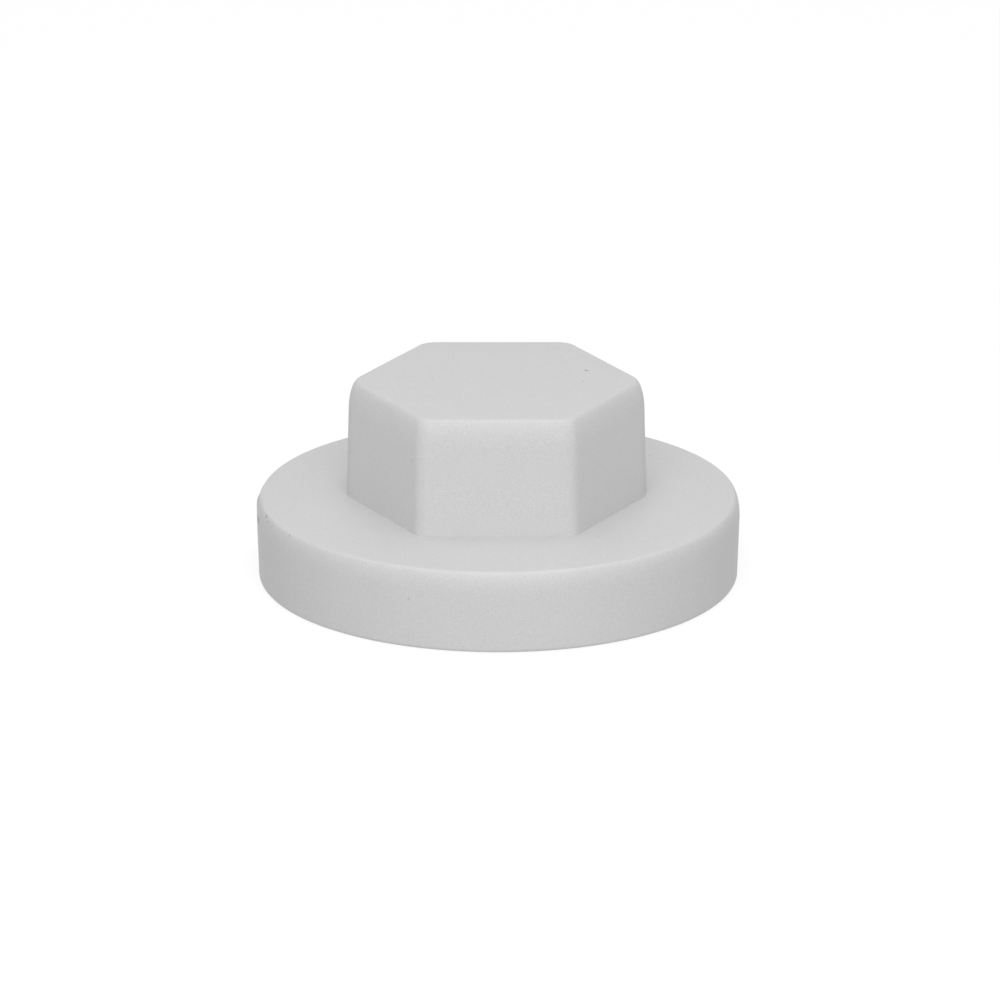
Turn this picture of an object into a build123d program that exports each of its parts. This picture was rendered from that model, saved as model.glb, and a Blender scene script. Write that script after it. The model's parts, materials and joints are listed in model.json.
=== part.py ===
from build123d import *
import os
from math import radians, tan

# Push-on cover cap for a hexagon-headed roofing screw and its sealing washer.
# The cap is one moulding: a round flange with a short skirt hides the washer, and the
# hollow hexagonal dome above it grips the screw's head.
# Sizes are in millimetres. The origin is the middle of the plane that the rim rests on,
# +Z points up through the dome, and two flats of the hexagon face -Y and +Y.

# The head and the washer that go inside, and the room left round them
head_across_flats = 7.94
head_clearance = 0.10
washer_diameter = 16.0
washer_clearance = 0.25

# Walls of the moulding
skirt_wall = 1.25
flange_thickness = 1.10
dome_wall = 1.18
roof_thickness = 1.10

# Depths of the two hollows, the washer's first and the head's above it
washer_recess_depth = 2.17
socket_depth = 4.78

# Draft angles in degrees, so that the moulding leaves its tool
skirt_draft = 0.9
dome_draft = 1.8
socket_draft = 0.5

# Rounded outer edges
dome_corner_radius = 0.75
dome_top_radius = 0.55
flange_edge_radius = 0.30
rim_edge_radius = 0.15

# Edges of the hollows: lead-ins at the mouths and rounded inner corners
rim_lead_in = 0.30
socket_lead_in = 0.30
recess_corner_radius = 0.20
socket_corner_radius = 0.30

# Half-round ribs on the flats of the socket, which pinch the head
hexagon_sides = 6
grip_rib_radius = 0.35
grip_rib_height = 0.14
grip_rib_start = 1.00

# Sizes that follow from the ones above
recess_radius = washer_diameter / 2 + washer_clearance
flange_radius = recess_radius + skirt_wall
flange_height = washer_recess_depth + flange_thickness
rim_radius = flange_radius - flange_height * tan(radians(skirt_draft))
socket_apothem = head_across_flats / 2 + head_clearance
dome_apothem = socket_apothem + dome_wall
socket_roof_height = washer_recess_depth + socket_depth
cap_height = socket_roof_height + roof_thickness
dome_height = cap_height - flange_height
rib_centre_radius = socket_apothem + grip_rib_radius - grip_rib_height
rib_foot_height = washer_recess_depth + grip_rib_start
rib_length = socket_roof_height - rib_foot_height
flat_direction = 180 / hexagon_sides


def upright_edges(edges, rise):
    """The straight edges that climb most of that rise, which are a prism's corners."""
    return [
        edge
        for edge in edges.filter_by(GeomType.LINE)
        if edge.bounding_box().size.Z > rise / 2
    ]


with BuildPart() as cover_cap:
    # Skirt and flange, as one drafted disc that widens a little towards its top
    with BuildSketch(Plane.XY):
        Circle(rim_radius)
    extrude(amount=flange_height, taper=-skirt_draft)
    disc_edges = cover_cap.edges().filter_by(GeomType.CIRCLE).sort_by(Axis.Z)
    fillet(disc_edges[-1], radius=flange_edge_radius)
    disc_edges = cover_cap.edges().filter_by(GeomType.CIRCLE).sort_by(Axis.Z)
    fillet(disc_edges[0], radius=rim_edge_radius)

    # Hexagonal dome, which meets the flange in a sharp crease
    with BuildSketch(Plane.XY.offset(flange_height)):
        RegularPolygon(dome_apothem, hexagon_sides, major_radius=False)
    extrude(amount=dome_height, taper=dome_draft)
    fillet(upright_edges(cover_cap.edges(), dome_height), radius=dome_corner_radius)
    dome_top = cover_cap.faces().sort_by(Axis.Z)[-1]
    fillet(dome_top.edges(), radius=dome_top_radius)

    # Recess for the washer, with a lead-in at the rim and a rounded inner corner
    with BuildSketch(Plane.XY):
        Circle(recess_radius)
    extrude(amount=washer_recess_depth, mode=Mode.SUBTRACT)
    recess_edges = cover_cap.edges(Select.LAST).filter_by(GeomType.CIRCLE).sort_by(Axis.Z)
    chamfer(recess_edges[0], length=rim_lead_in)
    recess_roof = cover_cap.faces().filter_by(Axis.Z).sort_by(Axis.Z)[1]
    fillet(recess_roof.edges(), radius=recess_corner_radius)

    # Hexagonal socket for the head, a little narrower at its roof
    with BuildSketch(Plane.XY.offset(washer_recess_depth)):
        RegularPolygon(socket_apothem, hexagon_sides, major_radius=False)
    extrude(amount=socket_depth, taper=socket_draft, mode=Mode.SUBTRACT)
    socket_edges = cover_cap.edges(Select.LAST)
    fillet(upright_edges(socket_edges, socket_depth), radius=socket_corner_radius)
    recess_roof = cover_cap.faces().filter_by(Axis.Z).sort_by(Axis.Z)[1]
    chamfer(recess_roof.inner_wires()[0].edges(), length=socket_lead_in)

    # Grip ribs, one in the middle of each flat, with a ball-shaped lower end
    with BuildSketch(Plane.XY.offset(rib_foot_height)):
        with PolarLocations(rib_centre_radius, hexagon_sides, start_angle=flat_direction):
            Circle(grip_rib_radius)
    extrude(amount=rib_length)
    with Locations((0, 0, rib_foot_height)):
        with PolarLocations(rib_centre_radius, hexagon_sides, start_angle=flat_direction):
            Sphere(grip_rib_radius)

cover_cap.part.label = "cover_cap"

os.makedirs("parts", exist_ok=True)
export_step(cover_cap.part, "parts/cover_cap.step")
print("outer diameter", round(2 * flange_radius, 3))
print("height", round(cap_height, 3))
print("hexagon across flats at its foot", round(2 * dome_apothem, 3))
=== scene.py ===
import json
from math import atan2, cos, radians, sin, sqrt, tan

import bmesh
import bpy
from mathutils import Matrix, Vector, noise


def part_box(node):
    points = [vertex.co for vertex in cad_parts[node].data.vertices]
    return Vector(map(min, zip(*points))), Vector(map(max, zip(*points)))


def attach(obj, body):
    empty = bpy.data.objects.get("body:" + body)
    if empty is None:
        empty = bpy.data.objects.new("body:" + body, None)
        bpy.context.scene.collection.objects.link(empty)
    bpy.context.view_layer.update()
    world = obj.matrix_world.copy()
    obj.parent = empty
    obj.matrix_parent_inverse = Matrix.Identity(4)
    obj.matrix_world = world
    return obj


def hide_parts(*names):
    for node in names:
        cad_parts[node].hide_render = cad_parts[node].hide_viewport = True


# Looks of the push-on screw cover cap: one grey plastic moulding, its finish, the studio
# and the camera. Everything is in metres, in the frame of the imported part: the origin is
# the middle of the plane that the rim rests on, and +Z points up through the dome.

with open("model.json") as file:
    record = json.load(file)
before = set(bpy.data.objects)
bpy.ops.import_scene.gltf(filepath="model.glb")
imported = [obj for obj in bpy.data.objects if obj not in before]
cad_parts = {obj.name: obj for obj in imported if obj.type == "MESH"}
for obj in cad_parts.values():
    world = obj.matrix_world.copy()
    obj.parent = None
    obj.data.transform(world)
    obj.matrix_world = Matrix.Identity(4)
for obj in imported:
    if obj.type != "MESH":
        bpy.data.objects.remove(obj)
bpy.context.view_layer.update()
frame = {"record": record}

MM = 0.001
SECTORS = 6
HALF_SECTOR = radians(30)

# Sizes that the frame gives
mounts = {mount["name"]: mount for mount in frame["record"]["mounts"]}
cad_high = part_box("cover_cap")[1]
cap_height = cad_high.z - 0.09 * MM
cad_reach = cad_high.x
recess_radius = mounts["washer_recess"]["dims"]["r_mm"] * MM
socket_mouth_height = mounts["hex_socket"]["pos_m"][2]

# Sizes of the moulding inside that frame
lead_in = 0.30 * MM
flange_thickness = 1.14 * MM
flange_fall = 0.05 * MM
roof_thickness = 1.04 * MM
dome_apothem = 5.235 * MM
dome_wall = 1.165 * MM
dome_draft = radians(1.3)
skirt_draft = radians(1.9)
socket_draft = radians(0.5)

# Rounded edges and corners: an upper edge reaches much further down than it reaches in
dome_corner_radius = 0.62 * MM
dome_side_corner_radius = 1.10 * MM
dome_top_corner_extra = 0.15 * MM
dome_top_inset = 0.28 * MM
dome_top_drop = 1.10 * MM
flange_edge_inset = 0.27 * MM
flange_edge_drop = 0.88 * MM

rim_edge_radius = 0.15 * MM
recess_corner_radius = 0.20 * MM
socket_corner_radius = 0.30 * MM

# Ribs in the socket that pinch the screw's head
rib_radius = 0.35 * MM
rib_height = 0.14 * MM
rib_start_height = 3.17 * MM

# The dome stands a little to the left of the flange's middle
dome_shift = -0.065 * MM

# A small nib of spare plastic on the left edge of the flange
nib_centre = Vector((-9.43, 0.15, 3.03)) * MM
nib_radius = 0.45 * MM
nib_depth = 0.058 * MM

# Slight unevenness of a real moulding's faces
wave_depth = 0.010 * MM
wave_length = 3.5 * MM

# Faces that meet at more than this angle keep a sharp edge between them
crease_angle = radians(35)

# Heights and widths that follow
recess_roof_height = socket_mouth_height - lead_in
flange_height = recess_roof_height + flange_thickness
flange_rim_height = flange_height - flange_fall
socket_roof_height = cap_height - roof_thickness
socket_apothem = dome_apothem - dome_wall
rib_centre_distance = socket_apothem + rib_radius - rib_height

# Rings from the middle of the top to the rim, and from there to the middle of the socket's roof
TOP_SHARES = (0.1, 0.25, 0.4, 0.55, 0.7, 0.85)
EDGE_STEPS = 24
DOME_SIDE_STEPS = 16
FLANGE_FACE_STEPS = 10
SKIRT_STEPS = 26
CORNER_ROUND_STEPS = 8
RIM_FACE_STEPS = 3
RECESS_WALL_STEPS = 6
RECESS_ROOF_STEPS = 8
LEAD_IN_STEPS = 2
RIB_BALL_STEPS = 8
SOCKET_WALL_STEPS = 12
SOCKET_ROOF_SHARES = (0.8, 0.55, 0.3)

# Points along a ring: an arc at each corner of the hexagon, then the flat that follows it,
# with its points closer together in the middle, where the socket has its rib
CORNER_STEPS = 8
SIDE_STEPS = 12
RIB_SHARE = 0.135
rib_shares = [RIB_SHARE * sin(radians(angle)) for angle in range(-90, 91, 18)]
side_shares = [RIB_SHARE + (1 - RIB_SHARE) * step / SIDE_STEPS for step in range(1, SIDE_STEPS)]
flat_shares = sorted(rib_shares + side_shares + [-share for share in side_shares])


# Rings of points, from which the skin of the moulding is made

def hexagon_ring(apothem, corner_radii, z):
    """A hexagon with a rounding for each corner from +X on, two flats facing -Y and +Y."""
    points = []
    for sector, corner_radius in enumerate(corner_radii):
        corner_angle = sector * 2 * HALF_SECTOR
        corner_distance = (apothem - corner_radius) / cos(HALF_SECTOR)
        next_radius = corner_radii[(sector + 1) % SECTORS]
        for step in range(CORNER_STEPS + 1):
            turn = corner_angle + HALF_SECTOR * (2 * step / CORNER_STEPS - 1)
            x = corner_distance * cos(corner_angle) + corner_radius * cos(turn)
            y = corner_distance * sin(corner_angle) + corner_radius * sin(turn)
            points.append(Vector((x, y, z)))
        flat_angle = corner_angle + HALF_SECTOR
        for share in flat_shares:
            half_flat = (apothem - (corner_radius if share < 0 else next_radius)) * tan(HALF_SECTOR)
            x = apothem * cos(flat_angle) - share * half_flat * sin(flat_angle)
            y = apothem * sin(flat_angle) + share * half_flat * cos(flat_angle)
            points.append(Vector((x, y, z)))
    return points


def dome_ring(apothem, z, corner_extra=0):
    """A ring of the dome, whose left and right corners are rounder than the other four."""
    side = dome_side_corner_radius + corner_extra
    other = dome_corner_radius + corner_extra
    ring = hexagon_ring(apothem, (side, other, other, side, other, other), z)
    for point in ring:
        point.x += dome_shift
    return ring


ring_angles = [atan2(point.y, point.x - dome_shift) for point in dome_ring(dome_apothem, 0)]


def circle_ring(radius, z):
    """A circle whose points stand at the same angles as the dome's foot."""
    return [Vector((radius * cos(angle), radius * sin(angle), z)) for angle in ring_angles]


def between(first, last, steps):
    """Rings in even steps from the first ring to the last, without the first."""
    rings = []
    for step in range(1, steps + 1):
        rings.append([a.lerp(b, step / steps) for a, b in zip(first, last)])
    return rings


def round_corner(centre_radius, centre_height, radius, start, end):
    """Circular rings over a small round, turning from the start angle, where 0 is straight up."""
    rings = []
    for step in range(CORNER_ROUND_STEPS + 1):
        turn = radians(start + (end - start) * step / CORNER_ROUND_STEPS)
        rings.append(circle_ring(centre_radius + radius * sin(turn), centre_height + radius * cos(turn)))
    return rings


def dome_side_apothem(z):
    return dome_apothem - (z - flange_height) * tan(dome_draft)


def flange_side_radius(z):
    return cad_reach - (flange_rim_height - z) * tan(skirt_draft)


def dome_top_rings():
    """The flat top and the rounded edge round it, which reaches further down than in."""
    centre_height = cap_height - dome_top_drop
    edge = []
    for step in range(EDGE_STEPS + 1):
        turn = radians(90) * step / EDGE_STEPS
        z = centre_height + dome_top_drop * cos(turn)
        apothem = dome_side_apothem(z) - dome_top_inset * (1 - sin(turn))
        edge.append(dome_ring(apothem, z, dome_top_corner_extra * (1 - sin(turn))))
    middle = Vector((dome_shift, 0, cap_height))
    face = [[middle.lerp(point, share) for point in edge[0]] for share in TOP_SHARES]
    return face + edge


def dome_side_rings():
    """The drafted sides, down to the sharp crease where they meet the flange."""
    top = cap_height - dome_top_drop
    rings = []
    for step in range(1, DOME_SIDE_STEPS + 1):
        z = top + (flange_height - top) * step / DOME_SIDE_STEPS
        rings.append(dome_ring(dome_side_apothem(z), z))
    return rings


def flange_rings():
    """The flange's upper face, which falls a little outwards, its edge, the skirt and the rim."""
    edge = []
    for step in range(EDGE_STEPS + 1):
        turn = radians(90) * step / EDGE_STEPS
        z = flange_rim_height - flange_edge_drop * (1 - cos(turn))
        edge.append(circle_ring(flange_side_radius(z) - flange_edge_inset * (1 - sin(turn)), z))
    edge_height = flange_rim_height - flange_edge_drop
    foot_reach = flange_side_radius(rim_edge_radius)
    rim = round_corner(foot_reach - rim_edge_radius, rim_edge_radius, rim_edge_radius, 90, 180)
    upper_face = between(dome_side_rings()[-1], edge[0], FLANGE_FACE_STEPS)[:-1]
    skirt = []
    for step in range(1, SKIRT_STEPS):
        z = edge_height + (rim_edge_radius - edge_height) * step / SKIRT_STEPS
        skirt.append(circle_ring(flange_side_radius(z), z))
    return upper_face + edge + skirt + rim


def recess_rings():
    """The washer's recess: lead-in, wall, rounded inner corner and roof."""
    mouth = circle_ring(recess_radius + lead_in, 0)
    lead_in_end = circle_ring(recess_radius, lead_in)
    corner = round_corner(recess_radius - recess_corner_radius,
                          recess_roof_height - recess_corner_radius, recess_corner_radius, 90, 0)
    rim_face = between(flange_rings()[-1], mouth, RIM_FACE_STEPS)
    wall = between(lead_in_end, corner[0], RECESS_WALL_STEPS)[:-1]
    roof = between(corner[-1], socket_mouth_ring(), RECESS_ROOF_STEPS)
    return rim_face + [lead_in_end] + wall + corner + roof


def socket_mouth_ring():
    """The outer edge of the socket's lead-in, in the recess's roof."""
    return hexagon_ring(socket_apothem + lead_in, [socket_corner_radius + lead_in] * SECTORS,
                        recess_roof_height)


def rib_inset(sideways, wall_distance, z):
    """How far the rib stands into the socket there; its lower end is a ball."""
    below = max(rib_start_height - z, 0)
    reach = rib_radius ** 2 - below ** 2 - sideways ** 2
    if reach <= 0:
        return 0
    return max(sqrt(reach) - (rib_centre_distance - wall_distance), 0)


def socket_ring(z):
    """The socket's wall at that height, with its six ribs."""
    apothem = socket_apothem - (z - recess_roof_height) * tan(socket_draft)
    ring = hexagon_ring(apothem, [socket_corner_radius] * SECTORS, z)
    per_sector = len(ring) // SECTORS
    half_flat = (apothem - socket_corner_radius) * tan(HALF_SECTOR)
    for index, point in enumerate(ring):
        place = index % per_sector - (CORNER_STEPS + 1)
        if place < 0:
            continue
        flat_angle = (2 * (index // per_sector) + 1) * HALF_SECTOR
        inset = rib_inset(flat_shares[place] * half_flat, apothem, z)
        point.x -= inset * cos(flat_angle)
        point.y -= inset * sin(flat_angle)
    return ring


def socket_rings():
    """The socket's lead-in, its ribbed walls and its roof."""
    rings = between(socket_mouth_ring(), socket_ring(socket_mouth_height), LEAD_IN_STEPS)
    rib_foot = rib_start_height - rib_radius
    heights = [rib_foot + rib_radius * (1 - cos(radians(90 * step / RIB_BALL_STEPS)))
               for step in range(RIB_BALL_STEPS + 1)]
    rise = socket_roof_height - rib_start_height
    heights += [rib_start_height + rise * step / SOCKET_WALL_STEPS
                for step in range(1, SOCKET_WALL_STEPS + 1)]
    rings += [socket_ring(z) for z in heights]
    for share in SOCKET_ROOF_SHARES:
        rings.append([Vector((p.x * share, p.y * share, p.z)) for p in rings[-1]])
    return rings


def make_moulding():
    """The whole cap as one closed skin, sewn from its rings."""
    rings = dome_top_rings() + dome_side_rings() + flange_rings() + recess_rings() + socket_rings()
    mesh = bpy.data.meshes.new("moulded_cap")
    skin = bmesh.new()
    sewn = [[skin.verts.new(point) for point in ring] for ring in rings]
    count = len(ring_angles)
    for upper, lower in zip(sewn, sewn[1:]):
        for index in range(count):
            after = (index + 1) % count
            skin.faces.new((upper[index], lower[index], lower[after], upper[after]))
    crown = skin.verts.new((dome_shift, 0, cap_height))
    ceiling = skin.verts.new((0, 0, socket_roof_height))
    for index in range(count):
        after = (index + 1) % count
        skin.faces.new((crown, sewn[0][index], sewn[0][after]))
        skin.faces.new((ceiling, sewn[-1][after], sewn[-1][index]))
    skin.normal_update()
    for vertex in skin.verts:
        wave = noise.noise(vertex.co / wave_length)
        nearness = max(1 - (vertex.co - nib_centre).length / nib_radius, 0)
        vertex.co += vertex.normal * (nib_depth * nearness - wave_depth * (0.5 + 0.5 * wave))
    for face in skin.faces:
        face.smooth = True
    skin.to_mesh(mesh)
    skin.free()
    mesh.set_sharp_from_angle(angle=crease_angle)
    cap = bpy.data.objects.new("moulded_cap", mesh)
    bpy.context.scene.collection.objects.link(cap)
    return cap


# Materials

plastic_light = (0.675, 0.675, 0.675, 1)
plastic_dark = (0.567, 0.567, 0.567, 1)
plastic_specular = 0.42
plastic_roughness_low = 0.51
plastic_roughness_high = 0.61
grain_size = 0.055 * MM
grain_depth = 0.003 * MM
cloud_size = 1.6 * MM
cloud_share = 0.10
# Dark colour of the specks, and of the painted shade in the nick
speck_and_nick_shade_color = (0.16, 0.155, 0.15, 1)
speck_pit_depth = 0.012 * MM
speck_outline_scale = 1.7
speck_outline_reach = 0.5
speck_edge = (0.45, 1.05)

# The part of the noise's range that spans the whole change of tone, and of roughness
tone_range = (0.25, 0.75)
roughness_range = (0.3, 0.7)

# Specks and small pits that the photograph shows, and painted shade in the nick on the left edge: place
# in mm, radius in mm and how dark
specks = {
    "on the top": ((3.45, 1.23, 7.954), 0.075, 0.95),
    "faint, on the top": ((3.32, -0.11, 7.955), 0.065, 0.45),
    "beside the front left corner": ((-3.36, -4.62, 6.18), 0.070, 0.22),
    "on the flange, right": ((6.02, 4.77, 3.27), 0.090, 0.20),
    "beside the dome's foot": ((3.90, -5.25, 3.29), 0.070, 0.20),
    "on the skirt": ((-3.44, -8.80, 2.00), 0.070, 0.20),
    "first on the left edge": ((-9.03, -2.41, 3.16), 0.080, 0.75),
    "second on the left edge": ((-8.97, -2.75, 3.07), 0.065, 0.50),
    "faint, after the second": ((-8.89, -2.98, 3.09), 0.050, 0.20),
    "third on the left edge": ((-8.79, -3.28, 3.07), 0.065, 0.35),
    "fourth on the left edge": ((-8.08, -4.68, 3.16), 0.065, 0.36),
    "faint, before the first": ((-9.23, -1.84, 2.97), 0.060, 0.25),
    "on the right edge": ((9.07, -2.60, 2.83), 0.060, 0.16),
    # Painted shade: these two spots darken the colour where the shadow in the nick's small dent falls,
    # over a shallow pit
    "painted shade in the nick, upper end": ((-9.40, -1.07, 2.66), 0.110, 0.85),
    "painted shade in the nick, lower end": ((-9.37, -1.29, 2.61), 0.130, 0.95),
}


def add_node(tree, kind, place, **inputs):
    """A node at that place in the tree, with values for its inputs."""
    node = tree.nodes.new(kind)
    node.location = place
    for name, value in inputs.items():
        node.inputs[name.replace("_", " ")].default_value = value
    return node


def spread(tree, value, place, low, high, to_low, to_high):
    """A value's range from low to high, stretched to a new range."""
    node = add_node(tree, "ShaderNodeMapRange", place,
                    From_Min=low, From_Max=high, To_Min=to_low, To_Max=to_high)
    tree.links.new(value, node.inputs["Value"])
    return node.outputs["Result"]


def speck_group():
    """A small spot of uneven outline: 1 times its strength inside, 0 outside."""
    group = bpy.data.node_groups.new("speck", "ShaderNodeTree")
    for name, kind in (("Position", "NodeSocketVector"), ("Centre", "NodeSocketVector"),
                       ("Radius", "NodeSocketFloat"), ("Strength", "NodeSocketFloat")):
        group.interface.new_socket(name, in_out="INPUT", socket_type=kind)
    group.interface.new_socket("Mask", in_out="OUTPUT", socket_type="NodeSocketFloat")
    given = add_node(group, "NodeGroupInput", (-1000, 0))
    offset = add_node(group, "ShaderNodeVectorMath", (-800, 0))
    offset.operation = "SUBTRACT"
    unit = add_node(group, "ShaderNodeVectorMath", (-600, 0))
    unit.operation = "SCALE"
    share = add_node(group, "ShaderNodeMath", (-800, -200))
    share.operation = "DIVIDE"
    share.inputs[0].default_value = 1
    length = add_node(group, "ShaderNodeVectorMath", (-400, 0))
    length.operation = "LENGTH"
    ragged = add_node(group, "ShaderNodeTexNoise", (-400, -200),
                      Scale=speck_outline_scale, Detail=2)
    wobble = add_node(group, "ShaderNodeMath", (-200, 0))
    result = add_node(group, "ShaderNodeMath", (200, 0))
    result.operation = "MULTIPLY"
    output = add_node(group, "NodeGroupOutput", (400, 0))
    links = group.links
    links.new(given.outputs["Position"], offset.inputs[0])
    links.new(given.outputs["Centre"], offset.inputs[1])
    links.new(given.outputs["Radius"], share.inputs[1])
    links.new(offset.outputs["Vector"], unit.inputs[0])
    links.new(share.outputs[0], unit.inputs["Scale"])
    links.new(unit.outputs["Vector"], length.inputs[0])
    links.new(unit.outputs["Vector"], ragged.inputs["Vector"])
    links.new(length.outputs["Value"], wobble.inputs[0])
    uneven = spread(group, ragged.outputs["Fac"], (-200, -200), 0, 1,
                    -speck_outline_reach, speck_outline_reach)
    links.new(uneven, wobble.inputs[1])
    links.new(spread(group, wobble.outputs[0], (0, 0), *speck_edge, 1, 0), result.inputs[0])
    links.new(given.outputs["Strength"], result.inputs[1])
    links.new(result.outputs[0], output.inputs["Mask"])
    return group


def all_specks_and_nick_shade(tree, position):
    """The strongest of the specks and of the painted shade in the nick, at each point of the surface."""
    group = speck_group()
    strongest = None
    for row, (centre, radius, strength) in enumerate(specks.values()):
        spot = add_node(tree, "ShaderNodeGroup", (-900, -600 - 200 * row))
        spot.node_tree = group
        spot.inputs["Centre"].default_value = Vector(centre) * MM
        spot.inputs["Radius"].default_value = radius * MM
        spot.inputs["Strength"].default_value = strength
        tree.links.new(position, spot.inputs["Position"])
        if strongest is None:
            strongest = spot.outputs["Mask"]
            continue
        larger = add_node(tree, "ShaderNodeMath", (-700, -600 - 200 * row))
        larger.operation = "MAXIMUM"
        tree.links.new(strongest, larger.inputs[0])
        tree.links.new(spot.outputs["Mask"], larger.inputs[1])
        strongest = larger.outputs[0]
    return strongest


def mix_color(tree, place, factor, first, second):
    """A mix of two colours, each a plain colour or another node's output."""
    node = tree.nodes.new("ShaderNodeMix")
    node.data_type = "RGBA"
    node.location = place
    sockets = [socket for socket in node.inputs if socket.type == "RGBA"]
    for socket, color in zip(sockets, (first, second)):
        if isinstance(color, tuple):
            socket.default_value = color
        else:
            tree.links.new(color, socket)
    tree.links.new(factor, node.inputs[0])
    return [socket for socket in node.outputs if socket.type == "RGBA"][0]


def make_plastic():
    """Light grey matte plastic: fine moulded grain, slight clouds in the colour, specks, and painted
    shade in the nick.
    """
    material = bpy.data.materials.new("grey_moulded_plastic")
    material.use_nodes = True
    tree = material.node_tree
    shader = tree.nodes["Principled BSDF"]
    shader.inputs["Specular IOR Level"].default_value = plastic_specular
    position = add_node(tree, "ShaderNodeTexCoord", (-1300, 0)).outputs["Object"]
    grain = add_node(tree, "ShaderNodeTexNoise", (-1100, 0), Scale=1 / grain_size, Detail=2)
    cloud = add_node(tree, "ShaderNodeTexNoise", (-1100, 300), Scale=1 / cloud_size, Detail=3)
    tree.links.new(position, grain.inputs["Vector"])
    tree.links.new(position, cloud.inputs["Vector"])
    blend = add_node(tree, "ShaderNodeMix", (-900, 200))
    blend.inputs[0].default_value = cloud_share
    tree.links.new(grain.outputs["Fac"], blend.inputs[2])
    tree.links.new(cloud.outputs["Fac"], blend.inputs[3])
    tone = spread(tree, blend.outputs[0], (-700, 200), *tone_range, 0, 1)
    # Specks, and painted shade in the nick: both darken the colour and sink a shallow pit
    specks_and_nick_shade_mask = all_specks_and_nick_shade(tree, position)
    clean = mix_color(tree, (-500, 200), tone, plastic_dark, plastic_light)
    tree.links.new(mix_color(tree, (-300, 200), specks_and_nick_shade_mask, clean, speck_and_nick_shade_color), shader.inputs["Base Color"])
    roughness = spread(tree, grain.outputs["Fac"], (-500, 0), *roughness_range,
                       plastic_roughness_low, plastic_roughness_high)
    tree.links.new(roughness, shader.inputs["Roughness"])
    pits = spread(tree, specks_and_nick_shade_mask, (-700, -200), 0, 1, 0, speck_pit_depth / grain_depth)
    height = add_node(tree, "ShaderNodeMath", (-500, -200))
    height.operation = "SUBTRACT"
    tree.links.new(grain.outputs["Fac"], height.inputs[0])
    tree.links.new(pits, height.inputs[1])
    bump = add_node(tree, "ShaderNodeBump", (-300, -200), Distance=grain_depth)
    tree.links.new(height.outputs[0], bump.inputs["Height"])
    tree.links.new(bump.outputs["Normal"], shader.inputs["Normal"])
    return material


# Studio

ambient_level = 0.545
key_direction = Vector((0, -0.87, 0.5))
key_distance = 0.1
key_size = 0.07
key_power = 0.0416
overhead_direction = Vector((0, 0, 1))
overhead_distance = 0.5
overhead_size = 0.35
overhead_power = 0.686


def background_rays(tree, place):
    """1 for rays that show the background: the camera's, reflected and transmitted ones."""
    path = add_node(tree, "ShaderNodeLightPath", place)
    first = add_node(tree, "ShaderNodeMath", (place[0] + 200, place[1]))
    second = add_node(tree, "ShaderNodeMath", (place[0] + 400, place[1]))
    second.use_clamp = True
    tree.links.new(path.outputs["Is Camera Ray"], first.inputs[0])
    tree.links.new(path.outputs["Is Glossy Ray"], first.inputs[1])
    tree.links.new(first.outputs[0], second.inputs[0])
    tree.links.new(path.outputs["Is Transmission Ray"], second.inputs[1])
    return second.outputs[0]


def make_world():
    """White for the background, and a dimmer even light on the object."""
    world = bpy.data.worlds.new("studio")
    bpy.context.scene.world = world
    world.use_nodes = True
    tree = world.node_tree
    background = tree.nodes["Background"]
    background.inputs["Color"].default_value = (1, 1, 1, 1)
    shown = background_rays(tree, (-900, 0))
    level = add_node(tree, "ShaderNodeMapRange", (-200, 0))
    level.inputs["To Min"].default_value = ambient_level
    level.inputs["To Max"].default_value = 1
    tree.links.new(shown, level.inputs["Value"])
    tree.links.new(level.outputs["Result"], background.inputs["Strength"])


def make_softbox(name, direction, distance, size, power):
    """A square softbox that faces the middle of the cap."""
    light = bpy.data.lights.new(name, "AREA")
    light.shape = "SQUARE"
    light.size = size
    light.energy = power
    lamp = bpy.data.objects.new(name, light)
    lamp.location = direction.normalized() * distance
    lamp.rotation_euler = (-direction).to_track_quat("-Z", "Y").to_euler()
    lamp.visible_camera = False
    bpy.context.scene.collection.objects.link(lamp)


floor_glow = 0.80
floor_shade = 0.24
floor_half = 1.0
floor_height = -0.02 * MM


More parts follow.
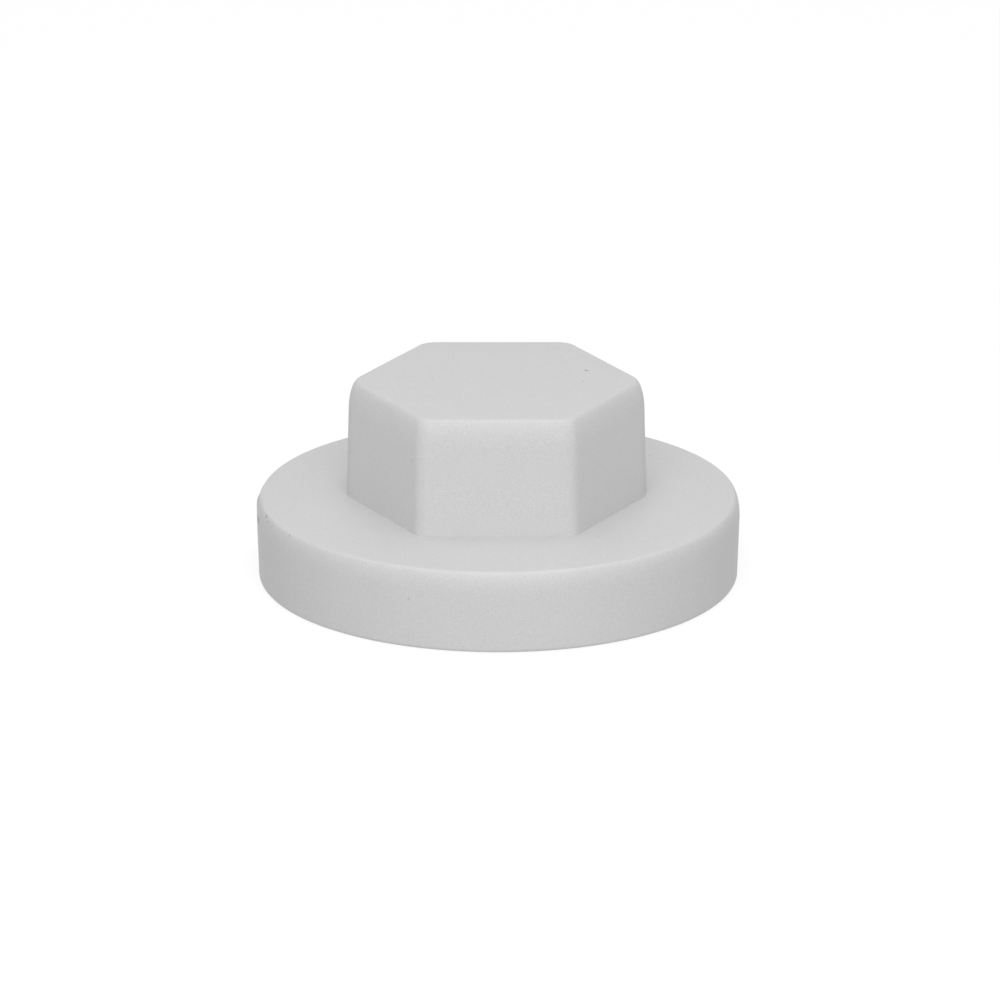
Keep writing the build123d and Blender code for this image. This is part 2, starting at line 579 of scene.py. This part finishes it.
def make_floor():
    """A white floor that shows the cap's soft shadow and can be seen through from below."""
    mesh = bpy.data.meshes.new("floor")
    corners = [(-floor_half, -floor_half, floor_height), (floor_half, -floor_half, floor_height),
               (floor_half, floor_half, floor_height), (-floor_half, floor_half, floor_height)]
    mesh.from_pydata(corners, [], [(0, 1, 2, 3)])
    floor = bpy.data.objects.new("floor", mesh)
    bpy.context.scene.collection.objects.link(floor)
    material = bpy.data.materials.new("floor")
    material.use_nodes = True
    tree = material.node_tree
    tree.nodes.clear()
    glow = add_node(tree, "ShaderNodeEmission", (-400, 200), Strength=floor_glow)
    paint = add_node(tree, "ShaderNodeBsdfDiffuse", (-400, 0),
                     Color=(floor_shade, floor_shade, floor_shade, 1))
    both = add_node(tree, "ShaderNodeAddShader", (-200, 100))
    side = add_node(tree, "ShaderNodeNewGeometry", (-400, 400))
    clear = add_node(tree, "ShaderNodeBsdfTransparent", (-400, -200))
    choice = add_node(tree, "ShaderNodeMixShader", (0, 100))
    output = add_node(tree, "ShaderNodeOutputMaterial", (200, 100))
    tree.links.new(glow.outputs[0], both.inputs[0])
    tree.links.new(paint.outputs[0], both.inputs[1])
    tree.links.new(side.outputs["Backfacing"], choice.inputs[0])
    tree.links.new(both.outputs[0], choice.inputs[1])
    tree.links.new(clear.outputs[0], choice.inputs[2])
    tree.links.new(choice.outputs[0], output.inputs["Surface"])
    mesh.materials.append(material)
    floor.visible_diffuse = False
    floor.visible_shadow = False


# Camera

camera_distance = 373 * MM
camera_elevation = radians(18.8)
camera_aim = Vector((0.07, 0, 3.02)) * MM
camera_lens = 342.6
camera_sensor_width = 36
camera_nearest = 0.01
camera_farthest = 10


def make_camera():
    """The photograph's view: straight from the front, a little above."""
    lens = bpy.data.cameras.new("camera")
    lens.lens = camera_lens
    lens.sensor_width = camera_sensor_width
    lens.clip_start = camera_nearest
    lens.clip_end = camera_farthest
    camera = bpy.data.objects.new("camera", lens)
    back = Vector((0, -cos(camera_elevation), sin(camera_elevation)))
    camera.location = camera_aim + back * camera_distance
    camera.rotation_euler = (-back).to_track_quat("-Z", "Y").to_euler()
    bpy.context.scene.collection.objects.link(camera)
    bpy.context.scene.camera = camera


cap = make_moulding()
cap.data.materials.append(make_plastic())
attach(cap, "root")
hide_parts("cover_cap")

make_world()
make_softbox("key", key_direction, key_distance, key_size, key_power)
make_softbox("overhead", overhead_direction, overhead_distance, overhead_size, overhead_power)
make_floor()
make_camera()
bpy.context.scene.view_settings.view_transform = "Standard"
